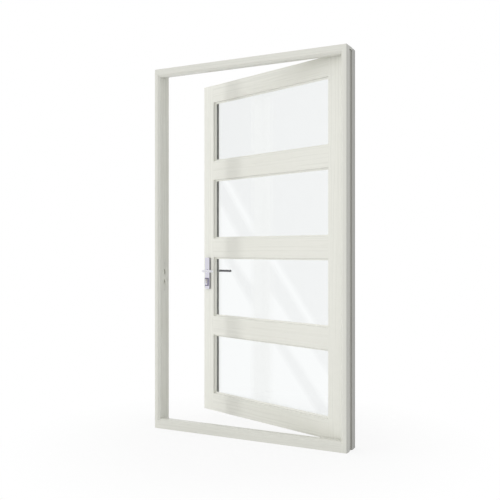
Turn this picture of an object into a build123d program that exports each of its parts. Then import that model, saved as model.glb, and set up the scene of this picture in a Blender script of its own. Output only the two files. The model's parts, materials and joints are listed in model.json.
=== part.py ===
from build123d import *
from itertools import product
from math import cos, radians, sin
import os

# Single front door in its timber frame: four panes, hinged on the right, opening inwards.
# X runs along the wall, Y goes inwards from the street side, Z is up. All sizes are in mm.
# The origin is in the middle of the sill's underside.

# Outer frame
FRAME_W = 1360.0
FRAME_H = 2392.0
FRAME_D = 124.0
FRONT_Y = -FRAME_D / 2
STOP_D = 50.0
CHAMFER = 13.0
OUTER_ARRIS = 8.0
JAMB_FACE = 26.0
HEAD_FACE = 40.0
SILL_FACE = 49.0
LOCK_REBATE = 19.0
HINGE_REBATE = 26.0
HEAD_REBATE = 28.0
SILL_REBATE = 38.0

# Shallow groove along the outer sides, stepped rear edge and the tongue that the wall lining meets
GROOVE_FROM = 44.0
GROOVE_TO = 88.0
GROOVE_DEEP = 7.0
GROOVE_END = 20.0
REAR_STEP = 8.0
TONGUE_D = 24.0
TONGUE_OUT = 3.0
TONGUE_IN = 15.0

# Seal in the stops
SEAL_W = 6.0
SEAL_PROUD = 4.0
SEAL_ROUND = 2.0
SEAL_IN = 5.0
KERF_W = 2.0
KERF_DEEP = 5.0

# Leaf, measured shut
LEAF_W = 1302.0
LEAF_H = 2315.0
LEAF_T = 60.0
LEAF_FOOT = 44.0
LEAF_FRONT = 57.0
LEAF_TOP = LEAF_FOOT + LEAF_H
HINGE_EDGE = 31.0
OPEN_ANGLE = 20.0
ARRIS = 2.5

# Stiles, rails and the glass rebate behind their outside lip
STILE_W = 106.0
END_RAIL = 122.5
MID_RAIL = 134.0
LIP_T = 20.0
REBATE = 15.0
RAILS = ("top_rail", "upper_rail", "middle_rail", "lower_rail", "bottom_rail")

# Panes: a sealed unit of two sheets, its spacer, a rubber gasket and mitred beads
PANE_COUNT = 4
PANE_W = LEAF_W - 2 * STILE_W
PANE_H = (LEAF_H - 2 * END_RAIL - (PANE_COUNT - 1) * MID_RAIL) / PANE_COUNT
GLASS_EDGE = 12.0
SHEET = 4.0
UNIT_T = 24.0
SPACER_W = 9.0
GASKET_W = 8.0
GASKET_T = 10.0
GASKET_BEVEL = 3.0
BEAD_SHY = 3.0
MITRE_GAP = 0.4

# Hinges
AXIS_IN = 28.5
HINGE_AXIS_D = 135.0
HINGE_PLACES = {"lower": 290.0, "middle": 1201.0, "upper": 2113.0}
HINGE_H = 120.0
KNUCKLE_H = HINGE_H / 3
KNUCKLE_R = 9.0
KNUCKLE_GAP = 0.5
PIN_R = 4.0
PIN_GAP = 0.3
WING_T = 3.0
WING_OFF = 1.5
WING_REACH = 48.0
WING_CLEAR = 1.0

# Lock: the spindle, the cylinder, the edge plate with its latch and bolt, and the strike
BACKSET = 50.0
SPINDLE_Z = 1036.0
LOCK_CENTRES = 72.0
CYLINDER_Z = SPINDLE_Z - LOCK_CENTRES
SPINDLE_W = 8.0
BORE_R = 11.0
CYLINDER_R = 8.5
CYLINDER_BODY = 10.0
CYLINDER_H = 33.0
CYLINDER_PROUD = 1.0
CYLINDER_INSIDE = 3.0
STILE_PLAY = 1.0
LOCK_T = 34.0
LATCH_Z = SPINDLE_Z + 4.0
LATCH_W = 13.0
LATCH_H = 23.0
LATCH_PROUD = 1.0
BOLT_Z = CYLINDER_Z + 11.0
BOLT_H = 21.0
BOLT_PLAY = 0.5
FACEPLATE_W = 22.0
FACEPLATE_H = 235.0
FACEPLATE_T = 3.0
STRIKE_Z = (LATCH_Z + BOLT_Z) / 2
STRIKE_W = 28.0
STRIKE_H = 200.0
STRIKE_T = 2.0
STRIKE_LIP = 1.0
PLATE_END = 3.0
POCKET_W = 16.0
POCKET_DEEP = 10.0
LATCH_POCKET_H = 34.0
BOLT_POCKET_H = 27.0

# Plates, cylinder guard and levers
PLATE_W = 48.0
PLATE_H = 224.0
PLATE_TOP = 1132.0
PLATE_CORNER = 6.0
PLATE_BEVEL = 2.5
PLATE_PLAY = 0.5
OUTSIDE_PLATE_T = 15.0
INSIDE_PLATE_T = 10.0
COLLAR_R = 13.0
COLLAR_H = 5.0
COLLAR_BEVEL = 1.5
GUARD_W = 40.0
GUARD_H = 57.0
GUARD_T = 5.0
GUARD_DROP = 6.0
GUARD_CORNER = 5.0
GUARD_BEVEL = 1.5
FIELD_RIM = 6.5
FIELD_T = 0.8
LEVER_R = 8.0
LEVER_PLAY = 0.6
LEVER_START = 1.0
LEVER_OUT = 58.0
LEVER_REACH = 112.0
LEVER_BEND = 11.0
LEVER_BEVEL = 1.5

# Directions of the leaf, open by its angle about the hinge axis
ALONG = Vector(cos(radians(OPEN_ANGLE)), -sin(radians(OPEN_ANGLE)), 0)
THROUGH = Vector(sin(radians(OPEN_ANGLE)), cos(radians(OPEN_ANGLE)), 0)
HINGE_AXIS = Vector(FRAME_W / 2 - AXIS_IN, FRONT_Y + HINGE_AXIS_D, 0)
EDGE_TO_AXIS = HINGE_EDGE - AXIS_IN
GRIP_WAY = Axis((0, 0, 0), tuple(ALONG))
ROOM_WAY = Axis((0, 0, 0), tuple(THROUGH))
STREET_WAY = Axis((0, 0, 0), tuple(-THROUGH))


def leaf_point(along, through, height):
    """A point of the leaf: from its lock edge, from its outside face, above the frame's foot."""
    reach = ALONG * (along - LEAF_W - EDGE_TO_AXIS)
    return HINGE_AXIS + reach + THROUGH * (through + LEAF_FRONT - HINGE_AXIS_D) + Vector(0, 0, height)


def leaf_level(height):
    """Level plane of the leaf: x along it, y through it."""
    return Plane(origin=leaf_point(0, 0, height), x_dir=ALONG, z_dir=(0, 0, 1))


def leaf_end(along):
    """Plane across the leaf: x through it, y up."""
    return Plane(origin=leaf_point(along, 0, 0), x_dir=THROUGH, z_dir=ALONG)


def leaf_outside(through):
    """Plane of the leaf seen from the street: x along it, y up."""
    return Plane(origin=leaf_point(0, through, 0), x_dir=ALONG, z_dir=-THROUGH)


def without_repeats(points):
    """The same outline with repeated neighbours left out."""
    return [p for i, p in enumerate(points) if p != points[i - 1]]


def save(builder, name):
    """Label a finished piece and write it."""
    builder.part.label = name
    export_step(builder.part, f"parts/{name}.step")


def rectangle_ring(width, height, hole_width, hole_height):
    """A rectangle with a rectangular hole, in the open sketch."""
    Rectangle(width, height)
    Rectangle(hole_width, hole_height, mode=Mode.SUBTRACT)


os.makedirs("parts", exist_ok=True)

# Kerf for the seal, a rectangle in the rear faces of the four stops
SEAL_X = FRAME_W - 2 * (JAMB_FACE + CHAMFER - SEAL_IN)
SEAL_FOOT = SILL_FACE + CHAMFER - SEAL_IN
SEAL_HEAD = FRAME_H - HEAD_FACE - CHAMFER + SEAL_IN
SEAL_Z = SEAL_HEAD - SEAL_FOOT
# Seen from inside, x of this plane runs towards the lock side
seal_plane = Plane(
    origin=(0, FRONT_Y + STOP_D, (SEAL_FOOT + SEAL_HEAD) / 2), x_dir=(-1, 0, 0), z_dir=(0, 1, 0)
)

with BuildPart() as kerf:
    with BuildSketch(seal_plane.offset(-KERF_DEEP)):
        rectangle_ring(SEAL_X + KERF_W, SEAL_Z + KERF_W, SEAL_X - KERF_W, SEAL_Z - KERF_W)
    extrude(amount=KERF_DEEP)

# Step along the rear of the frame's top
with BuildPart() as top_step:
    with BuildSketch(Plane.XY.offset(FRAME_H - REAR_STEP)):
        with Locations((0, FRONT_Y + (GROOVE_TO + FRAME_D + TONGUE_D) / 2)):
            Rectangle(FRAME_W, FRAME_D + TONGUE_D - GROOVE_TO)
    extrude(amount=REAR_STEP)


def frame_section(face, rebate, rear_drop=0.0):
    """Outline of a frame member: x from its outer side, y from the street side."""
    stop = face + CHAMFER
    outline = [
        (0, 0),
        (face, 0),
        (stop, CHAMFER),
        (stop, STOP_D),
        (rebate, STOP_D),
        (rebate, FRAME_D),
        (TONGUE_IN + rear_drop, FRAME_D),
        (TONGUE_IN + rear_drop, FRAME_D + TONGUE_D),
        (TONGUE_OUT + rear_drop, FRAME_D + TONGUE_D),
        (TONGUE_OUT + rear_drop, FRAME_D),
        (rear_drop, FRAME_D),
        (rear_drop, GROOVE_TO),
        (0, GROOVE_TO),
    ]
    return without_repeats(outline)


def jamb_blank(plane, rebate, side):
    """A jamb with its rounded street corner, outer groove and seal kerf; side is -1 at the lock."""
    with BuildPart() as blank:
        with BuildSketch(plane) as section:
            with BuildLine():
                Polyline(*frame_section(JAMB_FACE, rebate), close=True)
            make_face()
            fillet(section.vertices().sort_by_distance((0, 0, 0))[0], OUTER_ARRIS)
        extrude(amount=FRAME_H)
        fillet(blank.edges().filter_by(Axis.X).group_by(Axis.Z)[-1].sort_by(Axis.Y)[0], OUTER_ARRIS)
        # The groove stops below the top
        with BuildSketch(Plane.XY):
            with Locations((side * (FRAME_W - GROOVE_DEEP) / 2, FRONT_Y + (GROOVE_FROM + GROOVE_TO) / 2)):
                Rectangle(GROOVE_DEEP, GROOVE_TO - GROOVE_FROM)
        extrude(amount=FRAME_H - GROOVE_END, mode=Mode.SUBTRACT)
        add(kerf.part, mode=Mode.SUBTRACT)
        add(top_step.part, mode=Mode.SUBTRACT)
    return blank.part


# Jambs run the full height of the frame
lock_side = Plane(origin=(-FRAME_W / 2, FRONT_Y, 0), x_dir=(1, 0, 0), z_dir=(0, 0, 1))
hinge_side = Plane(origin=(FRAME_W / 2, FRONT_Y, FRAME_H), x_dir=(-1, 0, 0), z_dir=(0, 0, -1))
lock_blank = jamb_blank(lock_side, LOCK_REBATE, -1)
hinge_blank = jamb_blank(hinge_side, HINGE_REBATE, 1)
strike_wall = Plane(
    origin=(-FRAME_W / 2 + LOCK_REBATE, FRONT_Y + LEAF_FRONT + LOCK_T, 0), x_dir=(0, 1, 0), z_dir=(1, 0, 0)
)

with BuildPart() as lock_jamb:
    add(lock_blank)
    # Recess for the strike plate and the two pockets behind it
    with BuildSketch(strike_wall):
        with Locations((0, STRIKE_Z)):
            RectangleRounded(STRIKE_W, STRIKE_H, PLATE_END)
    extrude(amount=-STRIKE_T, mode=Mode.SUBTRACT)
    with BuildSketch(strike_wall):
        with Locations((0, LATCH_Z)):
            Rectangle(POCKET_W, LATCH_POCKET_H)
        with Locations((0, BOLT_Z)):
            Rectangle(POCKET_W, BOLT_POCKET_H)
    extrude(amount=-POCKET_DEEP, mode=Mode.SUBTRACT)
save(lock_jamb, "lock_jamb")

with BuildPart() as hinge_jamb:
    add(hinge_blank)
    # Recesses for the hinge wings, open at the rear edge of the rebate
    for z in HINGE_PLACES.values():
        with BuildSketch(Plane.XY.offset(z - HINGE_H / 2)):
            with Locations((HINGE_AXIS.X + WING_OFF + WING_T / 2, HINGE_AXIS.Y - WING_REACH / 2)):
                Rectangle(WING_T, WING_REACH)
        extrude(amount=HINGE_H, mode=Mode.SUBTRACT)
save(hinge_jamb, "hinge_jamb")

# Head and sill fit between the jambs and are scribed over their chamfers
MEMBER_L = FRAME_W - 2 * TONGUE_IN
head_plane = Plane(origin=(-MEMBER_L / 2, FRONT_Y, FRAME_H), x_dir=(0, 0, -1), z_dir=(1, 0, 0))
sill_plane = Plane(origin=(MEMBER_L / 2, FRONT_Y, 0), x_dir=(0, 0, 1), z_dir=(-1, 0, 0))

with BuildPart() as frame_head:
    with BuildSketch(head_plane) as section:
        with BuildLine():
            Polyline(*frame_section(HEAD_FACE, HEAD_REBATE, REAR_STEP), close=True)
        make_face()
        fillet(section.vertices().sort_by_distance((0, 0, 0))[0], OUTER_ARRIS)
    extrude(amount=MEMBER_L)
    add(lock_jamb.part, mode=Mode.SUBTRACT)
    add(hinge_jamb.part, mode=Mode.SUBTRACT)
    add(kerf.part, mode=Mode.SUBTRACT)
save(frame_head, "frame_head")

with BuildPart() as frame_sill:
    with BuildSketch(sill_plane) as section:
        with BuildLine():
            Polyline(*frame_section(SILL_FACE, SILL_REBATE), close=True)
        make_face()
    extrude(amount=MEMBER_L)
    add(lock_jamb.part, mode=Mode.SUBTRACT)
    add(hinge_jamb.part, mode=Mode.SUBTRACT)
    add(kerf.part, mode=Mode.SUBTRACT)
save(frame_sill, "frame_sill")

# Rubber seal: a stem in the kerf and a rounded bulb that the shut leaf meets
with BuildPart() as frame_seal:
    with BuildSketch(seal_plane):
        rectangle_ring(SEAL_X + SEAL_W, SEAL_Z + SEAL_W, SEAL_X - SEAL_W, SEAL_Z - SEAL_W)
    extrude(amount=SEAL_PROUD)
    fillet(frame_seal.faces().sort_by(Axis.Y)[-1].edges(), SEAL_ROUND)
    add(kerf.part)
save(frame_seal, "frame_seal")

# Strike plate, let in flush; its openings are a little smaller than the pockets
with BuildPart() as strike_plate:
    with BuildSketch(strike_wall.offset(-STRIKE_T)):
        with Locations((0, STRIKE_Z)):
            RectangleRounded(STRIKE_W, STRIKE_H, PLATE_END)
        with Locations((0, LATCH_Z)):
            Rectangle(POCKET_W - 2 * STRIKE_LIP, LATCH_POCKET_H - 2 * STRIKE_LIP, mode=Mode.SUBTRACT)
        with Locations((0, BOLT_Z)):
            Rectangle(POCKET_W - 2 * STRIKE_LIP, BOLT_POCKET_H - 2 * STRIKE_LIP, mode=Mode.SUBTRACT)
    extrude(amount=STRIKE_T)
save(strike_plate, "strike_plate")


def stile_blank(edge, inwards):
    """A stile with its glass rebate and rounded arrises; inwards is 1 at the lock, -1 at the hinges."""
    sight = edge + inwards * STILE_W
    rebate = sight - inwards * REBATE
    with BuildPart() as blank:
        with BuildSketch(leaf_level(LEAF_FOOT)) as section:
            with BuildLine():
                Polyline(
                    (edge, 0),
                    (sight, 0),
                    (sight, LIP_T),
                    (rebate, LIP_T),
                    (rebate, LEAF_T),
                    (edge, LEAF_T),
                    close=True,
                )
            make_face()
            for corner in ((edge, 0, 0), (sight, 0, 0), (edge, LEAF_T, 0)):
                fillet(section.vertices().sort_by_distance(corner)[0], ARRIS)
        extrude(amount=LEAF_H)
    return blank.part


lock_stile_blank = stile_blank(0, 1)
hinge_stile_blank = stile_blank(LEAF_W, -1)

with BuildPart() as lock_stile:
    add(lock_stile_blank)
    # Bores for the spindle and the cylinder, and the mortise for the lock's edge plate
    with BuildSketch(leaf_outside(0)):
        with Locations((BACKSET, SPINDLE_Z)):
            Circle(BORE_R)
        with Locations((BACKSET, CYLINDER_Z)):
            SlotOverall(CYLINDER_H + 2 * STILE_PLAY, 2 * (CYLINDER_R + STILE_PLAY), rotation=90)
    extrude(amount=-LEAF_T, mode=Mode.SUBTRACT)
    with BuildSketch(leaf_end(0)):
        with Locations((LOCK_T, STRIKE_Z)):
            RectangleRounded(FACEPLATE_W, FACEPLATE_H, PLATE_END)
    extrude(amount=FACEPLATE_T, mode=Mode.SUBTRACT)
save(lock_stile, "lock_stile")

wing_along = LEAF_W + EDGE_TO_AXIS - WING_OFF - WING_T / 2
wing_through = HINGE_AXIS_D - LEAF_FRONT - WING_REACH / 2
with BuildPart() as hinge_stile:
    add(hinge_stile_blank)
    for z in HINGE_PLACES.values():
        with BuildSketch(leaf_level(z - HINGE_H / 2)):
            with Locations((wing_along, wing_through)):
                Rectangle(WING_T, WING_REACH)
        extrude(amount=HINGE_H, mode=Mode.SUBTRACT)
save(hinge_stile, "hinge_stile")

# Heights of the rails, from the top: each pane stands between one rail's bottom and the next one's top
rail_bottoms = [LEAF_TOP - END_RAIL - i * (PANE_H + MID_RAIL) for i in range(PANE_COUNT)] + [LEAF_FOOT]
rail_tops = [LEAF_TOP] + [bottom - PANE_H for bottom in rail_bottoms[:-1]]


def rail_outline(top, bottom, glass_above, glass_below):
    """Section of a rail: x through the leaf, y up."""
    rebate_top = top - REBATE if glass_above else top
    rebate_bottom = bottom + REBATE if glass_below else bottom
    outline = [
        (0, bottom),
        (0, top),
        (LIP_T, top),
        (LIP_T, rebate_top),
        (LEAF_T, rebate_top),
        (LEAF_T, rebate_bottom),
        (LIP_T, rebate_bottom),
        (LIP_T, bottom),
    ]
    return without_repeats(outline)


for i, name in enumerate(RAILS):
    top = rail_tops[i]
    bottom = rail_bottoms[i]
    # The bottom rail's underside stays square
    rounded = (top,) if name == "bottom_rail" else (top, bottom)
    with BuildPart() as rail:
        with BuildSketch(leaf_end(STILE_W - REBATE)) as section:
            with BuildLine():
                Polyline(*rail_outline(top, bottom, i > 0, i < PANE_COUNT), close=True)
            make_face()
            for z in rounded:
                fillet(section.vertices().sort_by_distance((0, z, 0))[0], ARRIS)
        extrude(amount=LEAF_W - 2 * (STILE_W - REBATE))
        add(lock_stile.part, mode=Mode.SUBTRACT)
        add(hinge_stile.part, mode=Mode.SUBTRACT)
    save(rail, name)

# Glazing, set from the room side against the lips
GASKET_FROM = LIP_T + UNIT_T
BEAD_FROM = GASKET_FROM + GASKET_T
for i in range(PANE_COUNT):
    middle = (rail_bottoms[i] + rail_tops[i + 1]) / 2
    centre = (LEAF_W / 2, middle)
    with BuildPart() as glass:
        for front in (LIP_T, GASKET_FROM - SHEET):
            with BuildSketch(leaf_outside(front)):
                with Locations(centre):
                    Rectangle(PANE_W + 2 * GLASS_EDGE, PANE_H + 2 * GLASS_EDGE)
            extrude(amount=-SHEET)
    save(glass, f"glass_{i + 1}")

    with BuildPart() as spacer:
        with BuildSketch(leaf_outside(LIP_T + SHEET)):
            with Locations(centre):
                rectangle_ring(
                    PANE_W + 2 * GLASS_EDGE,
                    PANE_H + 2 * GLASS_EDGE,
                    PANE_W + 2 * (GLASS_EDGE - SPACER_W),
                    PANE_H + 2 * (GLASS_EDGE - SPACER_W),
                )
        extrude(amount=-(UNIT_T - 2 * SHEET))
    save(spacer, f"spacer_{i + 1}")

    # The gasket's sight edge slopes back towards the room
    with BuildPart() as gasket:
        with BuildSketch(leaf_outside(GASKET_FROM)):
            with Locations(centre):
                rectangle_ring(PANE_W + 2 * GASKET_W, PANE_H + 2 * GASKET_W, PANE_W, PANE_H)
        extrude(amount=-GASKET_T)
        chamfer(gasket.faces().sort_by(ROOM_WAY)[-1].inner_wires()[0].edges(), GASKET_BEVEL)
    save(gasket, f"gasket_{i + 1}")

    # Four beads with mitred ends, a groove behind them for the gasket
    with BuildPart() as bead:
        with BuildSketch(leaf_outside(GASKET_FROM)):
            with Locations(centre):
                rectangle_ring(
                    PANE_W + 2 * REBATE, PANE_H + 2 * REBATE, PANE_W + 2 * GASKET_W, PANE_H + 2 * GASKET_W
                )
        extrude(amount=-GASKET_T)
        with BuildSketch(leaf_outside(BEAD_FROM)):
            with Locations(centre):
                rectangle_ring(
                    PANE_W + 2 * REBATE, PANE_H + 2 * REBATE, PANE_W + 2 * BEAD_SHY, PANE_H + 2 * BEAD_SHY
                )
        extrude(amount=-(LEAF_T - BEAD_FROM))
        with BuildSketch(leaf_outside(GASKET_FROM)):
            for side, rise in product((-1, 1), repeat=2):
                with Locations((LEAF_W / 2 + side * PANE_W / 2, middle + rise * PANE_H / 2)):
                    Rectangle(4 * REBATE, MITRE_GAP, rotation=45 * side * rise)
        extrude(amount=-(LEAF_T - GASKET_FROM), mode=Mode.SUBTRACT)
    save(bead, f"bead_{i + 1}")

# Hinges: the frame half has the end knuckles and the pin, the leaf half the middle knuckle
wing_l = WING_REACH - KNUCKLE_R - WING_CLEAR
wing_middle = -(WING_REACH + KNUCKLE_R + WING_CLEAR) / 2
neck_l = KNUCKLE_R + 2 * WING_CLEAR
for place, z in HINGE_PLACES.items():
    foot = Vector(HINGE_AXIS.X, HINGE_AXIS.Y, z - HINGE_H / 2)
    frame_level = Plane(origin=foot, x_dir=(1, 0, 0), z_dir=(0, 0, 1))
    leaf_side_level = Plane(origin=foot, x_dir=-ALONG, z_dir=(0, 0, 1))
    with BuildPart() as frame_hinge:
        # Wing against the rebate, clear of the middle knuckle
        with BuildSketch(frame_level):
            with Locations((WING_OFF + WING_T / 2, wing_middle)):
                Rectangle(WING_T, wing_l)
        extrude(amount=HINGE_H)
        for level in (0, 2 * KNUCKLE_H):
            with BuildSketch(frame_level.offset(level)):
                Circle(KNUCKLE_R)
                with Locations((WING_OFF + WING_T / 2, -neck_l / 2)):
                    Rectangle(WING_T, neck_l)
            extrude(amount=KNUCKLE_H)
        with BuildSketch(frame_level):
            Circle(PIN_R)
        extrude(amount=HINGE_H)
    save(frame_hinge, f"frame_hinge_{place}")

    with BuildPart() as leaf_hinge:
        with BuildSketch(leaf_side_level):
            with Locations((WING_OFF + WING_T / 2, -wing_middle)):
                Rectangle(WING_T, wing_l)
        extrude(amount=HINGE_H)
        with BuildSketch(leaf_side_level.offset(KNUCKLE_H + KNUCKLE_GAP)):
            Circle(KNUCKLE_R)
            with Locations((WING_OFF + WING_T / 2, neck_l / 2)):
                Rectangle(WING_T, neck_l)
            Circle(PIN_R + PIN_GAP, mode=Mode.SUBTRACT)
        extrude(amount=KNUCKLE_H - 2 * KNUCKLE_GAP)
    save(leaf_hinge, f"leaf_hinge_{place}")


def lock_plate(face, side, thickness):
    """A long plate with a bevelled rim and the lever's collar; side is 1 on the street side."""
    outward = STREET_WAY if side > 0 else ROOM_WAY
    with BuildPart() as plate:
        with BuildSketch(leaf_outside(face)):
            with Locations((BACKSET, PLATE_TOP - PLATE_H / 2)):
                RectangleRounded(PLATE_W, PLATE_H, PLATE_CORNER)
        extrude(amount=side * thickness)
        chamfer(plate.faces().sort_by(outward)[-1].edges(), PLATE_BEVEL)
        with BuildSketch(leaf_outside(face)):
            with Locations((BACKSET, SPINDLE_Z)):
                Circle(COLLAR_R)
        extrude(amount=side * (thickness + COLLAR_H))
        chamfer(plate.faces().sort_by(outward)[-1].edges(), COLLAR_BEVEL)
        with BuildSketch(leaf_outside(face)):
            with Locations((BACKSET, SPINDLE_Z)):
                Circle(LEVER_R + LEVER_PLAY)
            with Locations((BACKSET, CYLINDER_Z)):
                SlotOverall(CYLINDER_H + 2 * PLATE_PLAY, 2 * (CYLINDER_R + PLATE_PLAY), rotation=90)
        extrude(amount=side * (thickness + COLLAR_H), mode=Mode.SUBTRACT)
    return plate


save(lock_plate(0, 1, OUTSIDE_PLATE_T), "outside_plate")
save(lock_plate(LEAF_T, -1, INSIDE_PLATE_T), "inside_plate")

# Guard round the cylinder, with a raised field inside its bevelled rim
GUARD_Z = CYLINDER_Z - GUARD_DROP
with BuildPart() as cylinder_guard:
    with BuildSketch(leaf_outside(-OUTSIDE_PLATE_T)):
        with Locations((BACKSET, GUARD_Z)):
            RectangleRounded(GUARD_W, GUARD_H, GUARD_CORNER)
    extrude(amount=GUARD_T)
    chamfer(cylinder_guard.faces().sort_by(STREET_WAY)[-1].edges(), GUARD_BEVEL)
    with BuildSketch(leaf_outside(-OUTSIDE_PLATE_T - GUARD_T)):
        with Locations((BACKSET, GUARD_Z)):
            RectangleRounded(GUARD_W - 2 * FIELD_RIM, GUARD_H - 2 * FIELD_RIM, GUARD_CORNER)
    extrude(amount=FIELD_T)
    with BuildSketch(leaf_outside(-OUTSIDE_PLATE_T)):
        with Locations((BACKSET, CYLINDER_Z)):
            SlotOverall(CYLINDER_H + 2 * PLATE_PLAY, 2 * (CYLINDER_R + PLATE_PLAY), rotation=90)
    extrude(amount=GUARD_T + FIELD_T, mode=Mode.SUBTRACT)
save(cylinder_guard, "cylinder_guard")

# Profile cylinder: a round barrel over a narrower body, right through the leaf
CYLINDER_FRONT = OUTSIDE_PLATE_T + GUARD_T + FIELD_T + CYLINDER_PROUD
CYLINDER_L = CYLINDER_FRONT + LEAF_T + INSIDE_PLATE_T + CYLINDER_INSIDE
with BuildPart() as cylinder:
    with BuildSketch(leaf_outside(-CYLINDER_FRONT)):
        with Locations((BACKSET, CYLINDER_Z + CYLINDER_H / 2 - CYLINDER_R)):
            Circle(CYLINDER_R)
        with Locations((BACKSET, CYLINDER_Z - CYLINDER_R / 2)):
            SlotOverall(CYLINDER_H - CYLINDER_R, CYLINDER_BODY, rotation=90)
    extrude(amount=-CYLINDER_L)
save(cylinder, "cylinder")

# Edge plate of the lock, and its latch and bolt drawn in
with BuildPart() as lock_faceplate:
    with BuildSketch(leaf_end(0)):
        with Locations((LOCK_T, STRIKE_Z)):
            RectangleRounded(FACEPLATE_W, FACEPLATE_H, PLATE_END)
        with Locations((LOCK_T, LATCH_Z)):
            Rectangle(LATCH_W + 2 * BOLT_PLAY, LATCH_H + 2 * BOLT_PLAY, mode=Mode.SUBTRACT)
        with Locations((LOCK_T, BOLT_Z)):
            Rectangle(LATCH_W + 2 * BOLT_PLAY, BOLT_H + 2 * BOLT_PLAY, mode=Mode.SUBTRACT)
    extrude(amount=FACEPLATE_T)
save(lock_faceplate, "lock_faceplate")

with BuildPart() as latch_bolt:
    with BuildSketch(leaf_end(-LATCH_PROUD)):
        with Locations((LOCK_T, LATCH_Z)):
            Rectangle(LATCH_W, LATCH_H)
    extrude(amount=FACEPLATE_T + LATCH_PROUD)
save(latch_bolt, "latch_bolt")

with BuildPart() as dead_bolt:
    with BuildSketch(leaf_end(0)):
        with Locations((LOCK_T, BOLT_Z)):
            Rectangle(LATCH_W, BOLT_H)
    extrude(amount=FACEPLATE_T)
save(dead_bolt, "dead_bolt")


def lever_bar(start, out):
    """A round bar that runs out from the leaf, round its bend and along the grip to a bevelled end."""
    with BuildPart() as lever:
        with BuildLine(leaf_level(SPINDLE_Z)) as route:
            FilletPolyline(
                (BACKSET, start),
                (BACKSET, out),
                (BACKSET + LEVER_REACH, out),
                radius=LEVER_BEND,
            )
        with BuildSketch(Plane(origin=route.line @ 0, z_dir=route.line % 0)):
            Circle(LEVER_R)
        sweep()
        chamfer(lever.edges().filter_by(GeomType.CIRCLE).sort_by(GRIP_WAY)[-1], LEVER_BEVEL)
    return lever.part


outside_bar = lever_bar(-LEVER_START, -LEVER_OUT)
inside_bar = lever_bar(LEAF_T + LEVER_START, LEAF_T + LEVER_OUT)
SPINDLE_END = LEAF_T + LEVER_START + INSIDE_PLATE_T

# The outside lever carries the square spindle, and the inside one has its socket
with BuildPart() as outside_lever:
    add(outside_bar)
    with BuildSketch(leaf_outside(-LEVER_START)):
        with Locations((BACKSET, SPINDLE_Z)):
            Rectangle(SPINDLE_W, SPINDLE_W)
    extrude(amount=-(SPINDLE_END + LEVER_START))
save(outside_lever, "outside_lever")

with BuildPart() as inside_lever:
    add(inside_bar)
    with BuildSketch(leaf_outside(LEAF_T + LEVER_START)):
        with Locations((BACKSET, SPINDLE_Z)):
            Rectangle(SPINDLE_W, SPINDLE_W)
    extrude(amount=-INSIDE_PLATE_T, mode=Mode.SUBTRACT)
save(inside_lever, "inside_lever")
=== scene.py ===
"""Looks of a glazed front door in a painted timber frame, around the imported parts."""

import json
from math import atan2, pi, radians

import bmesh
import bpy
import numpy as np
from bpy.props import FloatProperty, FloatVectorProperty, IntProperty, PointerProperty
from bpy.types import NodeSocket, Operator, Panel, PropertyGroup
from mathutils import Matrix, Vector


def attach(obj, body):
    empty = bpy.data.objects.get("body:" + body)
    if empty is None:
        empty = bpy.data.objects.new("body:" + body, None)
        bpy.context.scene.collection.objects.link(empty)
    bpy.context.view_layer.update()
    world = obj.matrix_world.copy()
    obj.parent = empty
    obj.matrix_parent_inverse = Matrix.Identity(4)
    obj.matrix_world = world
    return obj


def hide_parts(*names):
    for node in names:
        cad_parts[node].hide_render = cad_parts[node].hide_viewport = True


bl_info = {
    "name": "Glazed Front Door",
    "version": (1, 0, 0),
    "blender": (4, 5, 0),
    "location": "View3D > Sidebar > Front Door",
    "description": "Dresses a glazed timber front door: paint, glazing, hinges, lock furniture and studio",
    "category": "Object",
}

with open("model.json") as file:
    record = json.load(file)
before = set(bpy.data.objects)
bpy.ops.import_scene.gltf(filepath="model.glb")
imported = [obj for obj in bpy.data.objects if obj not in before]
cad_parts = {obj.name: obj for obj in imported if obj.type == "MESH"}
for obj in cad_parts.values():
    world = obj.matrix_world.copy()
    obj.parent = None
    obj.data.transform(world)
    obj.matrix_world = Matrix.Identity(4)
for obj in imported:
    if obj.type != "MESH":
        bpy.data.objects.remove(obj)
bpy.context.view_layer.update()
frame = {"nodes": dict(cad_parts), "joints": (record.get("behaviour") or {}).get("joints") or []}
JOINTS = {joint["name"]: joint for joint in frame["joints"]}
MM = 0.001

# Directions of the leaf: along its width from the lock edge, through it towards the room, and up
SPINDLE = np.array(JOINTS["lever_turn"]["pos_m"], float)
THROUGH = np.array(JOINTS["lever_turn"]["axis"], float)
THROUGH = THROUGH / np.linalg.norm(THROUGH)
ALONG = np.array([THROUGH[1], -THROUGH[0], 0.0])
UP = np.array([0.0, 0.0, 1.0])
LEAF_ORIGIN = np.array([SPINDLE[0], SPINDLE[1], 0.0])
LEAF_TURN = atan2(ALONG[1], ALONG[0])
HINGE_AXIS = np.array(JOINTS["leaf_swing"]["pos_m"], float)

FRAME_TIMBER = {"lock_jamb": "Z", "hinge_jamb": "Z", "frame_head": "X", "frame_sill": "X"}
LEAF_STILES = ("lock_stile", "hinge_stile")
LEAF_RAILS = ("top_rail", "upper_rail", "middle_rail", "lower_rail", "bottom_rail")
PANES = ("1", "2", "3", "4")
HINGES = ("lower", "middle", "upper")

SETTINGS = "front_door"

# Meshes: points closer than the first are one point, and an edge that bends more than the second stays sharp
SAME_POINT = 1e-6
SHARP_FROM = radians(32)

# Lacquer over timber: width and length of the grain's ridges, the orange peel and the faint clouds, how far
# the clouds dim and lift the colour, the roughness from valley to ridge, and the relief's height and share
GRAIN_W = 12 * MM
GRAIN_L = 900 * MM
PEEL = 5 * MM
CLOUD = 350 * MM
CLOUD_DARK = 0.985
CLOUD_LIGHT = 1.012
SHEEN = (0.26, 0.29)
RELIEF = 0.4 * MM
RELIEF_SHARE = 0.003

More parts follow.
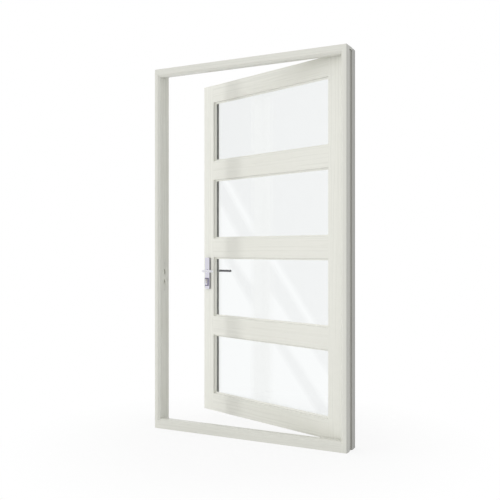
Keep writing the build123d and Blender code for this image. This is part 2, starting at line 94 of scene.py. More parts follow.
# Painted shade on the jambs' outer sides, in darker strips: where it starts across the wall, the depth that
# its ramp spans either way, and where each strip starts with its level
PAINTED_SHADE_FROM_X = 0.670
PAINTED_SHADE_SPAN = 0.1
PAINTED_SHADE_STRIPS = ((-60 * MM, 0.64), (-18 * MM, 0.59), (26 * MM, 0.43), (62 * MM, 0.33))

# Glazing: the glass's edge in the rebate, the rubber, the bead with its foot beside the rubber, the sealant's
# hollow as a share of its legs, and the spacer's breather holes, painted as dark dots for the shade in them,
# with their half width as a share of the pitch
GLASS_EDGE = 12 * MM
RUBBER_W = 8 * MM
BEAD_W = 12 * MM
BEAD_FOOT_W = 7 * MM
BEAD_FOOT_T = 10 * MM
BEAD_SOFT = 2.5 * MM
SEALANT_HOLLOW = 0.45
BREATHER_PITCH = 12 * MM
BREATHER_HALF = 0.1

# Hinges: a wing's thickness and its distance from the pin's axis, the knuckle and the play beside it, and the
# pin's domed caps, each with a tiny flat at its pole
WING_T = 3 * MM
WING_OFF = 1.5 * MM
KNUCKLE_R = 9 * MM
KNUCKLE_GAP = 0.5 * MM
KNUCKLE_SOFT = 0.8 * MM
KNUCKLE_CLEAR = 1 * MM
PIN_CAP_R = 0.82 * KNUCKLE_R
PIN_CAP_RISE = 3 * MM
PIN_CAP_FLAT = 0.01 * MM

# Screws: how far each kind of head is domed, the depth of its cross recess, its arms' reach and half width as
# shares of the head's radius, the flat at the middle as another, and the heads' places across a hinge's wing
FLUSH_CROWN = 0.15 * MM
EDGE_CROWN = 0.2 * MM
OVAL_CROWN = 0.8 * MM
RECESS_DEPTH = 0.9 * MM
RECESS_REACH = 0.62
RECESS_HALF = 0.16
SCREW_FLAT = 0.04
WING_SCREWS = (0.48, 0.78, 0.48, 0.78)
EDGE_SCREW_IN = 10 * MM
PLATE_SCREW_IN = 14 * MM

# Lock furniture: the collar round the lever, where the lever starts, the plate's polished face and its sides,
# painted darker as shade, the guard's rim and its bright face
COLLAR_H = 5 * MM
LEVER_SEAT = 8 * MM
POLISH_TO = 1 * MM
SIDE_SHADE_FROM = 3 * MM
GUARD_RIM = 6.5 * MM
GUARD_CORNER = 5 * MM
FACE_T = 0.5 * MM

# Cylinder: its radius, and the plug and the keyway in each end, the keyway a dark plate as painted shade
CYLINDER_R = 8.5 * MM
PLUG_R = 7 * MM
PLUG_SUNK = 0.5 * MM
PLUG_PROUD = 0.9 * MM
PLUG_BEVEL = (0.6 * MM, 0.4 * MM)
KEYWAY_W = 1.9 * MM
KEYWAY_H = 8.4 * MM
KEYWAY_CORNER = 0.8 * MM
KEYWAY_T = 0.35 * MM
KEYWAY_SOFT = 0.1 * MM
KEYWAY_LIFT = 0.75 * MM
KEYWAY_DROP = 0.6 * MM

# Pockets of the latch and the bolt in the jamb: middle height and height of each, and their plastic liners
POCKETS = ((SPINDLE[2] + 4 * MM, 34 * MM), (SPINDLE[2] - 61 * MM, 27 * MM))
POCKET_DEEP = 10 * MM
POCKET_HALF = 7.9 * MM
LINER_T = 0.8 * MM
LINER_PLAY = 0.1 * MM
LINER_PROUD = 0.02 * MM

# Light on the door: level of each wall of the soft room, and radiance of the key lamp
LIGHT = {"left": 1.5, "right": 0.76, "front": 0.9, "back": 1.05, "top": 0.85, "key": 8.5}
WHITE = (1, 1, 1, 1)

# The key lamp: where it stands, what it faces, and its width and height
KEY_PLACE = (-4.8, -3.7, 1.1)
KEY_TARGET = (-0.3, 0.34, 1.0)
KEY_SIZE = (0.7, 3.0)

# The floor: its size, its own colour, the share of white that the eye sees on it beside the door, and the
# distances between which that grows to full white
FLOOR_R = 30.0
FLOOR_T = 20 * MM
FLOOR_SIDES = 96
FLOOR_COLOUR = (0.86, 0.86, 0.86, 1)
FLOOR_SHARE = 0.84
FLOOR_NEAR = 0.75
FLOOR_FAR = 1.5

# The camera: its place, turn and reach, and the picture that it gives, 500 pixels square, with its focal
# length in pixels
CAMERA_PLACE = np.array([2.2106, -4.1616, 1.1865])
CAMERA_TURN = radians(27.876)
CAMERA_REACH = 100
FOCAL_PIXELS = 745
HALF_PICTURE = 250

# What the panes mirror at rest is on a card beyond the lock jamb. They mirror it at a depth in the leaf.
# Corners are pixels of the picture, right and down. The shapes stand a step before the card.
CARD_AWAY = 6.3
CARD_STEP = 20 * MM
CARD_LEVEL = 0.35
PALE_LEVEL = 0.79
PANE_MIRROR_DEPTH = 28 * MM
CARD_CORNERS = ((216, 437), (400, 437), (400, -12), (216, -12))
PALE_SHAPES = (
    ((220.6, 178), (227.6, 178), (262.1, 240), (255.1, 240)),
    ((212, 188), (240.8, 240), (212, 240)),
    ((212, 258), (224.2, 258), (262.2, 325), (212, 325)),
    ((233, 258), (271, 258), (271, 315)),
    ((266.2, 255), (273.6, 255), (318.1, 328), (310.7, 328)),
    ((271, 291), (293, 325), (271, 325)),
    ((210, 330), (266.4, 330), (324.8, 425), (210, 425)),
    ((279.7, 335), (302, 335), (345.3, 400), (345.3, 425), (339.2, 425)),
)


def extent(node, origin=(0.0, 0.0, 0.0), axes=((1, 0, 0), (0, 1, 0), (0, 0, 1))):
    """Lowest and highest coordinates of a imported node, measured from an origin along three axes."""
    mesh = frame["nodes"][node].data
    points = np.empty(len(mesh.vertices) * 3)
    mesh.vertices.foreach_get("co", points)
    local = (points.reshape(-1, 3) - np.array(origin)) @ np.array(axes, float).T
    return local.min(0), local.max(0)


def leaf_extent(node):
    """A node of the leaf measured along it from the spindle, through it from its outside face, and up."""
    return extent(node, LEAF_ORIGIN, (ALONG, THROUGH, UP))


# Surfaces. Each is a pair: an array of points and a list of faces.
def ring_faces(rings, count):
    """Quads that join each point of a pile of rings to the next on its ring and to the ring above."""
    ring = np.arange(rings - 1)[:, None]
    point = np.arange(count)[None, :]
    after = (point + 1) % count
    corners = np.broadcast_arrays(
        ring * count + point,
        ring * count + after,
        (ring + 1) * count + after,
        (ring + 1) * count + point,
    )
    return np.stack(corners, axis=-1).reshape(-1, 4).tolist()


def in_place(surface, origin=LEAF_ORIGIN, axes=(ALONG, THROUGH, UP)):
    """A surface given in an origin's own three axes, turned and moved into the door's frame."""
    points, faces = surface
    return np.asarray(points, float) @ np.array(axes, float) + np.array(origin, float), faces


def joined(*surfaces):
    """Several surfaces as one."""
    points, faces, count = [], [], 0
    for more_points, more_faces in surfaces:
        flat = np.asarray(more_points, float).reshape(-1, 3)
        points.append(flat)
        faces += [[index + count for index in face] for face in more_faces]
        count += len(flat)
    return np.vstack(points), faces


def stacked(outlines):
    """A closed solid through a pile of outlines with equal counts of points, capped flat at both ends."""
    outlines = np.asarray(outlines, float)
    layers, count = outlines.shape[:2]
    faces = ring_faces(layers, count)
    faces.append(list(range(count))[::-1])
    faces.append(list(range((layers - 1) * count, layers * count)))
    return outlines.reshape(-1, 3), faces


def turned(profile, sides):
    """A profile of (radius, height) turned about the local Z axis and capped flat at both ends."""
    profile = np.asarray(profile, float)
    turn = np.linspace(0, 2 * pi, sides, endpoint=False)
    radius, height = profile[:, :1], profile[:, 1:]
    rings = np.stack([radius * np.cos(turn), radius * np.sin(turn), height + 0 * turn], axis=-1)
    return stacked(rings)


def rounded_outline(width, height, corner, steps=6):
    """Points round a rectangle whose corners are quarter circles: each is a corner's centre plus its
    radius at an angle."""
    quarter = np.linspace(0, pi / 2, steps)
    turn = np.concatenate([quarter + k * pi / 2 for k in range(4)])
    side_x = np.repeat([1, -1, -1, 1], steps)
    side_y = np.repeat([1, 1, -1, -1], steps)
    x = side_x * (width / 2 - corner) + corner * np.cos(turn)
    y = side_y * (height / 2 - corner) + corner * np.sin(turn)
    return np.stack([x, y], axis=-1)


def plate(width, height, corner, thickness, edge, steps=5):
    """A plate with rounded corners whose front edge is a quarter round: the outline shrinks by
    edge x (1 - cos) while it rises by edge x sin. Its corners shrink by nine tenths of that."""
    lean = np.linspace(0, pi / 2, steps)
    insets = np.concatenate([[0], edge * (1 - np.cos(lean))])
    levels = np.concatenate([[0], thickness - edge + edge * np.sin(lean)])
    layers = []
    for inset, level in zip(insets, levels):
        outline = rounded_outline(width - 2 * inset, height - 2 * inset, corner - inset * 0.9)
        layers.append(np.column_stack([outline, np.full(len(outline), level)]))
    return stacked(layers)


def bar(path, sideways, upright, radii, sides):
    """A round bar along a path: each ring is the path's point plus its radius times cos and sin
    along the two directions across the path."""
    turn = np.linspace(0, 2 * pi, sides, endpoint=False)
    across = sideways[:, None, :] * np.cos(turn)[None, :, None]
    above = np.asarray(upright)[None, None, :] * np.sin(turn)[None, :, None]
    return stacked(path[:, None, :] + np.asarray(radii)[:, None, None] * (across + above))


def mitred_frame(profile, low, high, gap=0.0):
    """Four mitred strips round a rectangle. The profile is (inwards, depth); each strip runs between the
    rectangle's corners, shortened at each end by the profile's own inward offset and half the gap."""
    profile = np.asarray(profile, float)
    inwards, depth = profile[:, 0], profile[:, 1]
    strips = []
    for side in range(4):
        across = side % 2
        start, end = (low[0], high[0]) if across == 0 else (low[1], high[1])
        near = (low[1], high[0], high[1], low[0])[side]
        sign = (1, -1, -1, 1)[side]
        fixed = near + sign * inwards
        ends = (start + inwards + gap / 2, end - inwards - gap / 2)
        layers = []
        for run in ends:
            pair = (run, fixed) if across == 0 else (fixed, run)
            layers.append(np.column_stack([pair[0], depth, pair[1]]))
        strips.append(stacked(layers))
    return joined(*strips)


def cross_recess(across, upright, reach, half_width):
    """Depth from 0 to 1 of a cross-shaped recess: full inside either arm, and nothing outside both."""
    level = (np.abs(across) < reach) & (np.abs(upright) < half_width)
    plumb = (np.abs(upright) < reach) & (np.abs(across) < half_width)
    return (level | plumb).astype(float)


def screw_head(crown, rings=12, sides=48):
    """A disc whose height is crown x (1 - (r / radius) squared), less the depth of its cross recess."""
    radius = settings().screw_radius
    share = np.linspace(SCREW_FLAT, 1, rings)[:, None]
    turn = np.linspace(0, 2 * pi, sides, endpoint=False)[None, :]
    across = radius * share * np.cos(turn)
    upright = radius * share * np.sin(turn)
    recess = cross_recess(across, upright, radius * RECESS_REACH, radius * RECESS_HALF)
    level = crown * (1 - share**2) - RECESS_DEPTH * recess
    top = np.stack([across, upright, level], axis=-1)
    foot = top[-1:].copy()
    foot[..., 2] = -2 * crown - RECESS_DEPTH
    return stacked(np.concatenate([top, foot]))


def to_mesh(name, surface):
    """A mesh object from a surface, with its normals outward and its edges sharp past 32 degrees."""
    points, faces = surface
    mesh = bpy.data.meshes.new(name)
    mesh.from_pydata(np.asarray(points).reshape(-1, 3).tolist(), [], faces)
    shape = bmesh.new()
    shape.from_mesh(mesh)
    bmesh.ops.remove_doubles(shape, verts=shape.verts, dist=SAME_POINT)
    bmesh.ops.recalc_face_normals(shape, faces=shape.faces)
    shape.to_mesh(mesh)
    shape.free()
    mesh.polygons.foreach_set("use_smooth", np.ones(len(mesh.polygons), bool))
    mesh.set_sharp_from_angle(angle=SHARP_FROM)
    mesh.update()
    piece = bpy.data.objects.new(name, mesh)
    bpy.context.scene.collection.objects.link(piece)
    return piece


def add_piece(name, surface, body, finish, nodes=()):
    """Make a piece of one material that rides on a body, in place of the nodes that it stands for."""
    piece = to_mesh(name, surface)
    piece.data.materials.append(finish)
    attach(piece, body)
    if nodes:
        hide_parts(*nodes)


# Colours and shader nodes
def linear(code):
    """An sRGB hex colour as linear red, green and blue."""
    share = np.array([int(code[k : k + 2], 16) for k in (1, 3, 5)]) / 255
    return tuple(np.where(share <= 0.04045, share / 12.92, ((share + 0.055) / 1.055) ** 2.4).tolist())


def add_node(tree, kind, inputs=None, **options):
    """Add a shader node with its options; its inputs are values, or the sockets that feed them."""
    made = tree.nodes.new(kind)
    for name, value in options.items():
        setattr(made, name, value)
    for socket, value in (inputs or {}).items():
        if isinstance(value, NodeSocket):
            tree.links.new(value, made.inputs[socket])
        else:
            made.inputs[socket].default_value = value
    return made


def new_material(name):
    """An empty node material."""
    material = bpy.data.materials.new(name)
    material.use_nodes = True
    material.node_tree.nodes.clear()
    return material


def finish_material(material, surface):
    """Join a shader to the material's output."""
    add_node(material.node_tree, "ShaderNodeOutputMaterial", {"Surface": surface.outputs[0]})
    return material


def stretched(tree, scale, turn=0.0):
    """Object coordinates turned about Z and scaled in cycles per metre along each axis."""
    place = add_node(tree, "ShaderNodeTexCoord").outputs["Object"]
    level = add_node(
        tree, "ShaderNodeMapping", {"Vector": place, "Rotation": (0, 0, -turn)}, vector_type="POINT"
    ).outputs["Vector"]
    return add_node(
        tree, "ShaderNodeMapping", {"Vector": level, "Scale": scale}, vector_type="POINT"
    ).outputs["Vector"]


def painted_shade_outside(tree, colour):
    """The paint's colour, darkened in strips on a jamb's outer side, which the wall hides: painted shade that
    deepens towards the back, through the groove and the rear strip to the tongue."""
    place = add_node(tree, "ShaderNodeTexCoord").outputs["Object"]
    apart = add_node(tree, "ShaderNodeSeparateXYZ", {"Vector": place})
    away = add_node(tree, "ShaderNodeMath", {0: apart.outputs["X"]}, operation="ABSOLUTE").outputs[0]
    outside = add_node(tree, "ShaderNodeMath", {0: away, 1: PAINTED_SHADE_FROM_X}, operation="GREATER_THAN")
    depth = add_node(
        tree,
        "ShaderNodeMapRange",
        {"Value": apart.outputs["Y"], "From Min": -PAINTED_SHADE_SPAN, "From Max": PAINTED_SHADE_SPAN},
    )
    strips = add_node(tree, "ShaderNodeValToRGB", {"Fac": depth.outputs["Result"]})
    ramp = strips.color_ramp
    ramp.interpolation = "CONSTANT"
    ramp.elements[0].color = WHITE
    ramp.elements.remove(ramp.elements[1])
    for start, level in PAINTED_SHADE_STRIPS:
        ramp.elements.new((start + PAINTED_SHADE_SPAN) / (2 * PAINTED_SHADE_SPAN)).color = (level, level, level, 1)
    return add_node(
        tree,
        "ShaderNodeMix",
        {"Factor": outside.outputs[0], 6: colour, 7: strips.outputs["Color"]},
        data_type="RGBA",
        blend_type="MULTIPLY",
    ).outputs[2]


def painted_hardwood(name, grain, turn, paint, painted_shade=False):
    """Hardwood under sprayed satin lacquer. The grain shows through as long faint ridges, drawn coarser than
    real so that they show, and the lacquer has a soft sheen with a slight orange peel."""
    material = new_material(name)
    tree = material.node_tree
    across, along = 1 / GRAIN_W, 1 / GRAIN_L
    scale = {"X": (along, across, across), "Z": (across, across, along)}[grain]
    patterns = []
    for place, detail, rough in (
        (stretched(tree, scale, turn), 4.0, 0.6),
        (stretched(tree, (1 / PEEL,) * 3), 2.0, 0.5),
        (stretched(tree, (1 / CLOUD,) * 3), 2.0, 0.5),
    ):
        inputs = {"Vector": place, "Scale": 1.0, "Detail": detail, "Roughness": rough}
        patterns.append(add_node(tree, "ShaderNodeTexNoise", inputs).outputs["Fac"])
    ridges, peel, cloud = patterns
    height = add_node(tree, "ShaderNodeMath", {0: ridges, 1: peel}, operation="ADD").outputs[0]
    bump = add_node(tree, "ShaderNodeBump", {"Height": height, "Strength": RELIEF_SHARE, "Distance": RELIEF})
    dark = [CLOUD_DARK * part for part in paint]
    light = [min(1, CLOUD_LIGHT * part) for part in paint]
    colour = add_node(
        tree, "ShaderNodeMix", {"Factor": cloud, 6: (*dark, 1), 7: (*light, 1)}, data_type="RGBA"
    ).outputs[2]
    # Darker strips on a jamb's outer side: painted shade of its groove, rear strip and tongue
    if painted_shade:
        colour = painted_shade_outside(tree, colour)
    gloss = add_node(tree, "ShaderNodeMapRange", {"Value": ridges, "To Min": SHEEN[0], "To Max": SHEEN[1]})
    shader = add_node(
        tree,
        "ShaderNodeBsdfPrincipled",
        {
            "Base Color": colour,
            "Roughness": gloss.outputs["Result"],
            "IOR": 1.5,
            "Normal": bump.outputs["Normal"],
        },
    )
    return finish_material(material, shader)


def float_glass():
    """Clear float glass, drawn in a flat sheet: mirror-smooth on both sides and almost without tint."""
    material = new_material("float_glass")
    shader = add_node(
        material.node_tree,
        "ShaderNodeBsdfPrincipled",
        {
            "Base Color": (*linear("#FEFFFF"), 1),
            "Roughness": 0.0,
            "IOR": 1.45,
            "Transmission Weight": 1.0,
        },
    )
    return finish_material(material, shader)


def speckled(name, colour, spacing, detail, dim, roughness, spread, strength, lift, metallic):
    """A finish with one noise pattern, spaced in mm along each axis, that dims the colour, spreads the
    roughness either way, and lifts the surface by some mm."""
    material = new_material(name)
    tree = material.node_tree
    scale = tuple(1 / (gap * MM) for gap in spacing)
    inputs = {"Vector": stretched(tree, scale), "Scale": 1.0, "Detail": detail}
    pattern = add_node(tree, "ShaderNodeTexNoise", inputs).outputs["Fac"]
    inputs = {"Height": pattern, "Strength": strength, "Distance": lift * MM}
    bump = add_node(tree, "ShaderNodeBump", inputs)
    inputs = {"Factor": pattern, 6: (*(dim * part for part in colour), 1), 7: (*colour, 1)}
    shade = add_node(tree, "ShaderNodeMix", inputs, data_type="RGBA")
    inputs = {"Value": pattern, "To Min": roughness - spread, "To Max": roughness + spread}
    gloss = add_node(tree, "ShaderNodeMapRange", inputs)
    shader = add_node(
        tree,
        "ShaderNodeBsdfPrincipled",
        {
            "Base Color": shade.outputs[2],
            "Metallic": metallic,
            "Roughness": gloss.outputs["Result"],
            "Normal": bump.outputs["Normal"],
        },
    )
    return finish_material(material, shader)


def metal(name, colour, roughness, grain, spread=0.06):
    """Metal finished by brushing or tumbling: fine lines or specks a few tenths of a millimetre apart, drawn
    at the grain's coarser spacing so that they show, which spread the highlight across them."""
    return speckled(name, colour, grain, 2.0, 0.94, roughness, spread / 2, 0.04, 0.05, 1.0)


def soft_solid(name, colour, roughness, spacing, lift):
    """Rubber, sealant, moulded plastic or powder coat: dull, with a fine texture that blurs every
    highlight."""
    return speckled(name, colour, (spacing,) * 3, 3.0, 0.93, roughness, 0.06, 0.2, lift, 0.0)


def polished_plate(colour):
    """Zinc casting with polished chrome on its face: a near mirror. Its sides are satin where the buffing
    wheel doesn't reach, and painted darker there as shade."""
    material = new_material("polished_chromed_zinc")
    tree = material.node_tree
    place = add_node(tree, "ShaderNodeTexCoord").outputs["Object"]
    depth = add_node(
        tree, "ShaderNodeVectorMath", {0: place, 1: tuple(THROUGH)}, operation="DOT_PRODUCT"
    ).outputs["Value"]
    face = leaf_extent("outside_plate")[0][1] + COLLAR_H + LEAF_ORIGIN @ THROUGH
    rim = add_node(
        tree,
        "ShaderNodeMapRange",
        {"Value": depth, "From Min": face + POLISH_TO, "From Max": face + SIDE_SHADE_FROM},
    ).outputs["Result"]
    # Deeper than the face the plate turns darker: painted shade on its sides
    shade = add_node(
        tree,
        "ShaderNodeMix",
        {"Factor": rim, 6: (*colour, 1), 7: (*linear("#9A999D"), 1)},
        data_type="RGBA",
    ).outputs[2]
    gloss = add_node(tree, "ShaderNodeMapRange", {"Value": rim, "To Min": 0.04, "To Max": 0.3})
    shader = add_node(
        tree,
        "ShaderNodeBsdfPrincipled",
        {"Base Color": shade, "Metallic": 1.0, "Roughness": gloss.outputs["Result"]},
    )
    return finish_material(material, shader)


def warm_edge_spacer():
    """Extruded warm-edge spacer bar: matt light grey plastic with a row of breather holes, painted as
    dark dots every 12 mm for the shade inside them."""
    material = new_material("extruded_warm_edge_spacer")
    tree = material.node_tree
    place = stretched(tree, (1 / BREATHER_PITCH,) * 3, LEAF_TURN)
    apart = add_node(tree, "ShaderNodeSeparateXYZ", {"Vector": place})
    edges = []
    for axis in ("X", "Z"):
        part = add_node(tree, "ShaderNodeMath", {0: apart.outputs[axis]}, operation="FRACT").outputs[0]
        away = add_node(tree, "ShaderNodeMath", {0: part, 1: 0.5}, operation="SUBTRACT").outputs[0]
        edges.append(add_node(tree, "ShaderNodeMath", {0: away}, operation="ABSOLUTE").outputs[0])
    nearer = add_node(tree, "ShaderNodeMath", {0: edges[0], 1: edges[1]}, operation="MAXIMUM").outputs[0]
    dots = add_node(
        tree, "ShaderNodeMath", {0: nearer, 1: BREATHER_HALF}, operation="GREATER_THAN"
    ).outputs[0]
    shade = add_node(
        tree,
        "ShaderNodeMix",
        {"Factor": dots, 6: (*linear("#9A9A94"), 1), 7: (*linear("#D8D8D0"), 1)},
        data_type="RGBA",
    ).outputs[2]
    shader = add_node(tree, "ShaderNodeBsdfPrincipled", {"Base Color": shade, "Roughness": 0.6})
    return finish_material(material, shader)


MATERIALS = {}


def material(name):
    """A finished material by name."""
    return MATERIALS[name]


def finish_node(name, finish):
    """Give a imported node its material."""
    mesh = frame["nodes"][name].data
    mesh.materials.clear()
    mesh.materials.append(material(finish))


def colour_choice(name, description, code):
    """A user's colour whose default is an sRGB hex colour."""
    return FloatVectorProperty(
        name=name, description=description, subtype="COLOR", size=3, min=0, max=1, default=linear(code)
    )


def length_choice(name, description, default):
    """A user's length in metres."""
    return FloatProperty(name=name, description=description, unit="LENGTH", default=default)


class FRONTDOOR_PG_settings(PropertyGroup):
    """Sizes and colours that a user would change."""

    # The frame's lacquer is set darker than the leaf's as painted shade, for the frame's faces that read
    # darker
    frame_paint_shaded: colour_choice("Frame paint", "Colour of the lacquer on the frame", "#DEDED6")
    leaf_paint: colour_choice("Leaf paint", "Colour of the lacquer on the leaf", "#E8E8E0")
    silver: colour_choice("Silver", "Colour of the outside plate and the guard's face", "#EFEDF8")
    # Near black inside: a dark finish set this dark as painted shade, for the furniture's place behind the
    # glass
    dark: colour_choice("Inside furniture", "Colour of the inside plate and lever", "#111113")
    lever_radius: length_choice("Lever radius", "Radius of the lever's round bar", 8 * MM)
    lever_bend: length_choice("Lever bend", "Radius of the lever's bend", 11 * MM)
    lever_rim: length_choice("Lever rim", "Rounding round the lever's flat end", 2 * MM)
    screw_radius: length_choice("Screw radius", "Radius of a screw's head", 4.2 * MM)
    sides: IntProperty(
        name="Sides", description="Count of flats round a turned piece", min=12, max=96, default=40
    )


def settings():
    """The user's settings for the door."""
    return getattr(bpy.context.scene, SETTINGS)


class FRONTDOOR_OT_materials(Operator):
    """Make every finish: lacquer, glass, metals, rubbers and sealant"""

    bl_idname = "front_door.materials"
    bl_label = "Finishes"

    def execute(self, context):
        values = settings()
        frame_paint_shaded, leaf_paint = tuple(values.frame_paint_shaded), tuple(values.leaf_paint)
        silver, dark = tuple(values.silver), tuple(values.dark)
        MATERIALS.update(
            # The frame's paint colour is the leaf's darkened as painted shade
            lacquer_upright=painted_hardwood("satin_lacquer_upright", "Z", 0.0, leaf_paint),
            lacquer_jamb=painted_hardwood("satin_lacquer_jamb", "Z", 0.0, frame_paint_shaded, painted_shade=True),
            lacquer_level=painted_hardwood("satin_lacquer_level", "X", 0.0, frame_paint_shaded),
            lacquer_rail=painted_hardwood("satin_lacquer_rail", "X", LEAF_TURN, leaf_paint),
            glass=float_glass(),
            spacer=warm_edge_spacer(),
            # Rubber and sealant: dull skins with no highlight, the black one a dark line beside the glass
            rubber=soft_solid("extruded_epdm_rubber", linear("#17181A"), 0.55, 1.5, 0.05),
            seal=soft_solid("extruded_pale_seal", linear("#D2D2C8"), 0.6, 2.0, 0.1),
            sealant=soft_solid("tooled_acrylic_sealant", linear("#F0F0E8"), 0.5, 6.0, 0.2),
            # Moulded plastic near the paint's tone, and a near-black plate for the painted shade inside a
            # keyway
            liner=soft_solid("moulded_pale_liner", linear("#E4E4DC"), 0.5, 1.0, 0.03),
            keyway=soft_solid("shadowed_keyway", linear("#0A0A0B"), 0.7, 1.0, 0.02),
            # Powder coat: an even dull skin over steel and cast metal, near black inside as painted shade
            strike=soft_solid("powder_coated_strike", linear("#DEDED6"), 0.45, 1.2, 0.03),
            dark=soft_solid("dark_powder_coat_as_shade", dark, 0.42, 1.2, 0.06),
            # Brushed and satin metals: lines along the piece draw the highlight out across them
            steel=metal("brushed_stainless_steel", linear("#C9C9CC"), 0.34, (1.2, 1.2, 30)),
            face=metal("satin_chromed_zinc", silver, 0.3, (1.5, 1.5, 30), 0.04),
            # Tumbled and plated metals: an even satin with no direction
            hinge=metal("zinc_plated_steel", linear("#B9BABC"), 0.38, (3, 3, 3), 0.1),
            lever=metal("satin_silver_aluminium", linear("#F4F3F8"), 0.34, (2, 2, 2), 0.04),
            # The guard's body is darker than its face, so a dark outline runs round the face
            guard=metal("dark_guard_metal", linear("#7C7690"), 0.36, (2, 2, 2)),
            nickel=metal("nickel_plated_brass", linear("#CFCBC2"), 0.25, (2, 2, 2), 0.05),
            screw=metal("bright_zinc_screw", linear("#C4C4C2"), 0.3, (1, 1, 1), 0.05),
            silver=polished_plate(silver),
        )
        return {"FINISHED"}


class FRONTDOOR_OT_timber(Operator):
    """Finish the frame and the leaf's timber, with the grain along each member"""

    bl_idname = "front_door.timber"
    bl_label = "Timber"

    def execute(self, context):
        for node, grain in FRAME_TIMBER.items():
            finish_node(node, "lacquer_jamb" if grain == "Z" else "lacquer_level")
        for node in LEAF_STILES:
            finish_node(node, "lacquer_upright")
        for node in LEAF_RAILS:
            finish_node(node, "lacquer_rail")
        finish_node("frame_seal", "seal")
        return {"FINISHED"}


class FRONTDOOR_OT_glazing(Operator):
    """Glass, spacers, gaskets, mitred beads and the outside line of sealant"""

    bl_idname = "front_door.glazing"
    bl_label = "Glazing"

    sealant: length_choice("Sealant", "Leg of the outside line of sealant on the timber", 5 * MM)
    sealant_reach: length_choice("Sealant reach", "Leg of the line of sealant on the glass", 11 * MM)
    mitre_gap: length_choice("Mitre gap", "Gap at a bead's mitre", 0.4 * MM)

    def execute(self, context):
        for number in PANES:
            finish_node(f"glass_{number}", "glass")
            frame["nodes"][f"glass_{number}"].visible_shadow = False
            finish_node(f"spacer_{number}", "spacer")
            self.add_gasket(number)
            self.add_bead(number)
            self.add_sealant(number)
        return {"FINISHED"}

    def add_gasket(self, number):
        """A rubber strip whose free edge is a half round, carried round the pane with mitred corners."""
        low, high = leaf_extent(f"gasket_{number}")
        radius = (high[1] - low[1]) / 2
        lean = np.linspace(-pi / 2, pi / 2, 9)
        lip_in = RUBBER_W - radius + radius * np.cos(lean)
        lip_depth = (low[1] + high[1]) / 2 + radius * np.sin(lean)
        profile = np.vstack([[0, low[1]], np.column_stack([lip_in, lip_depth]), [0, high[1]]])
        surface = in_place(mitred_frame(profile, (low[0], low[2]), (high[0], high[2])))
        nodes = (f"gasket_{number}",)
        add_piece(f"rubber_{number}", surface, "leaf", material("rubber"), nodes)

    def add_bead(self, number):
        """Four mitred glazing beads, square at the back with a softened sight edge."""
        low, high = leaf_extent(f"bead_{number}")
        back, front = low[1], high[1]
        step = back + BEAD_FOOT_T
        lean = np.linspace(0, pi / 2, 6)
        edge_in = BEAD_W - BEAD_SOFT + BEAD_SOFT * np.sin(lean)
        edge_depth = front - BEAD_SOFT + BEAD_SOFT * np.cos(lean)
        edge = np.column_stack([edge_in, edge_depth])
        foot = [[BEAD_W, step], [BEAD_FOOT_W, step], [BEAD_FOOT_W, back]]
        profile = np.vstack([[[0, back], [0, front]], edge, foot])
        surface = in_place(mitred_frame(profile, (low[0], low[2]), (high[0], high[2]), self.mitre_gap))
        finish, nodes = material("lacquer_rail"), (f"bead_{number}",)
        add_piece(f"glazing_bead_{number}", surface, "leaf", finish, nodes)

    def add_sealant(self, number):
        """A hollow fillet of sealant in the corner of the outside lip and the glass."""
        low, high = leaf_extent(f"glass_{number}")
        leg, reach, face = self.sealant, self.sealant_reach, low[1]
        hollow = [reach * SEALANT_HOLLOW, face - leg * SEALANT_HOLLOW]
        profile = [[0, face], [0, face - leg], hollow, [reach, face]]
        corner_low = (low[0] + GLASS_EDGE, low[2] + GLASS_EDGE)
        corner_high = (high[0] - GLASS_EDGE, high[2] - GLASS_EDGE)
        surface = in_place(mitred_frame(profile, corner_low, corner_high))
        add_piece(f"outside_sealant_{number}", surface, "leaf", material("sealant"))


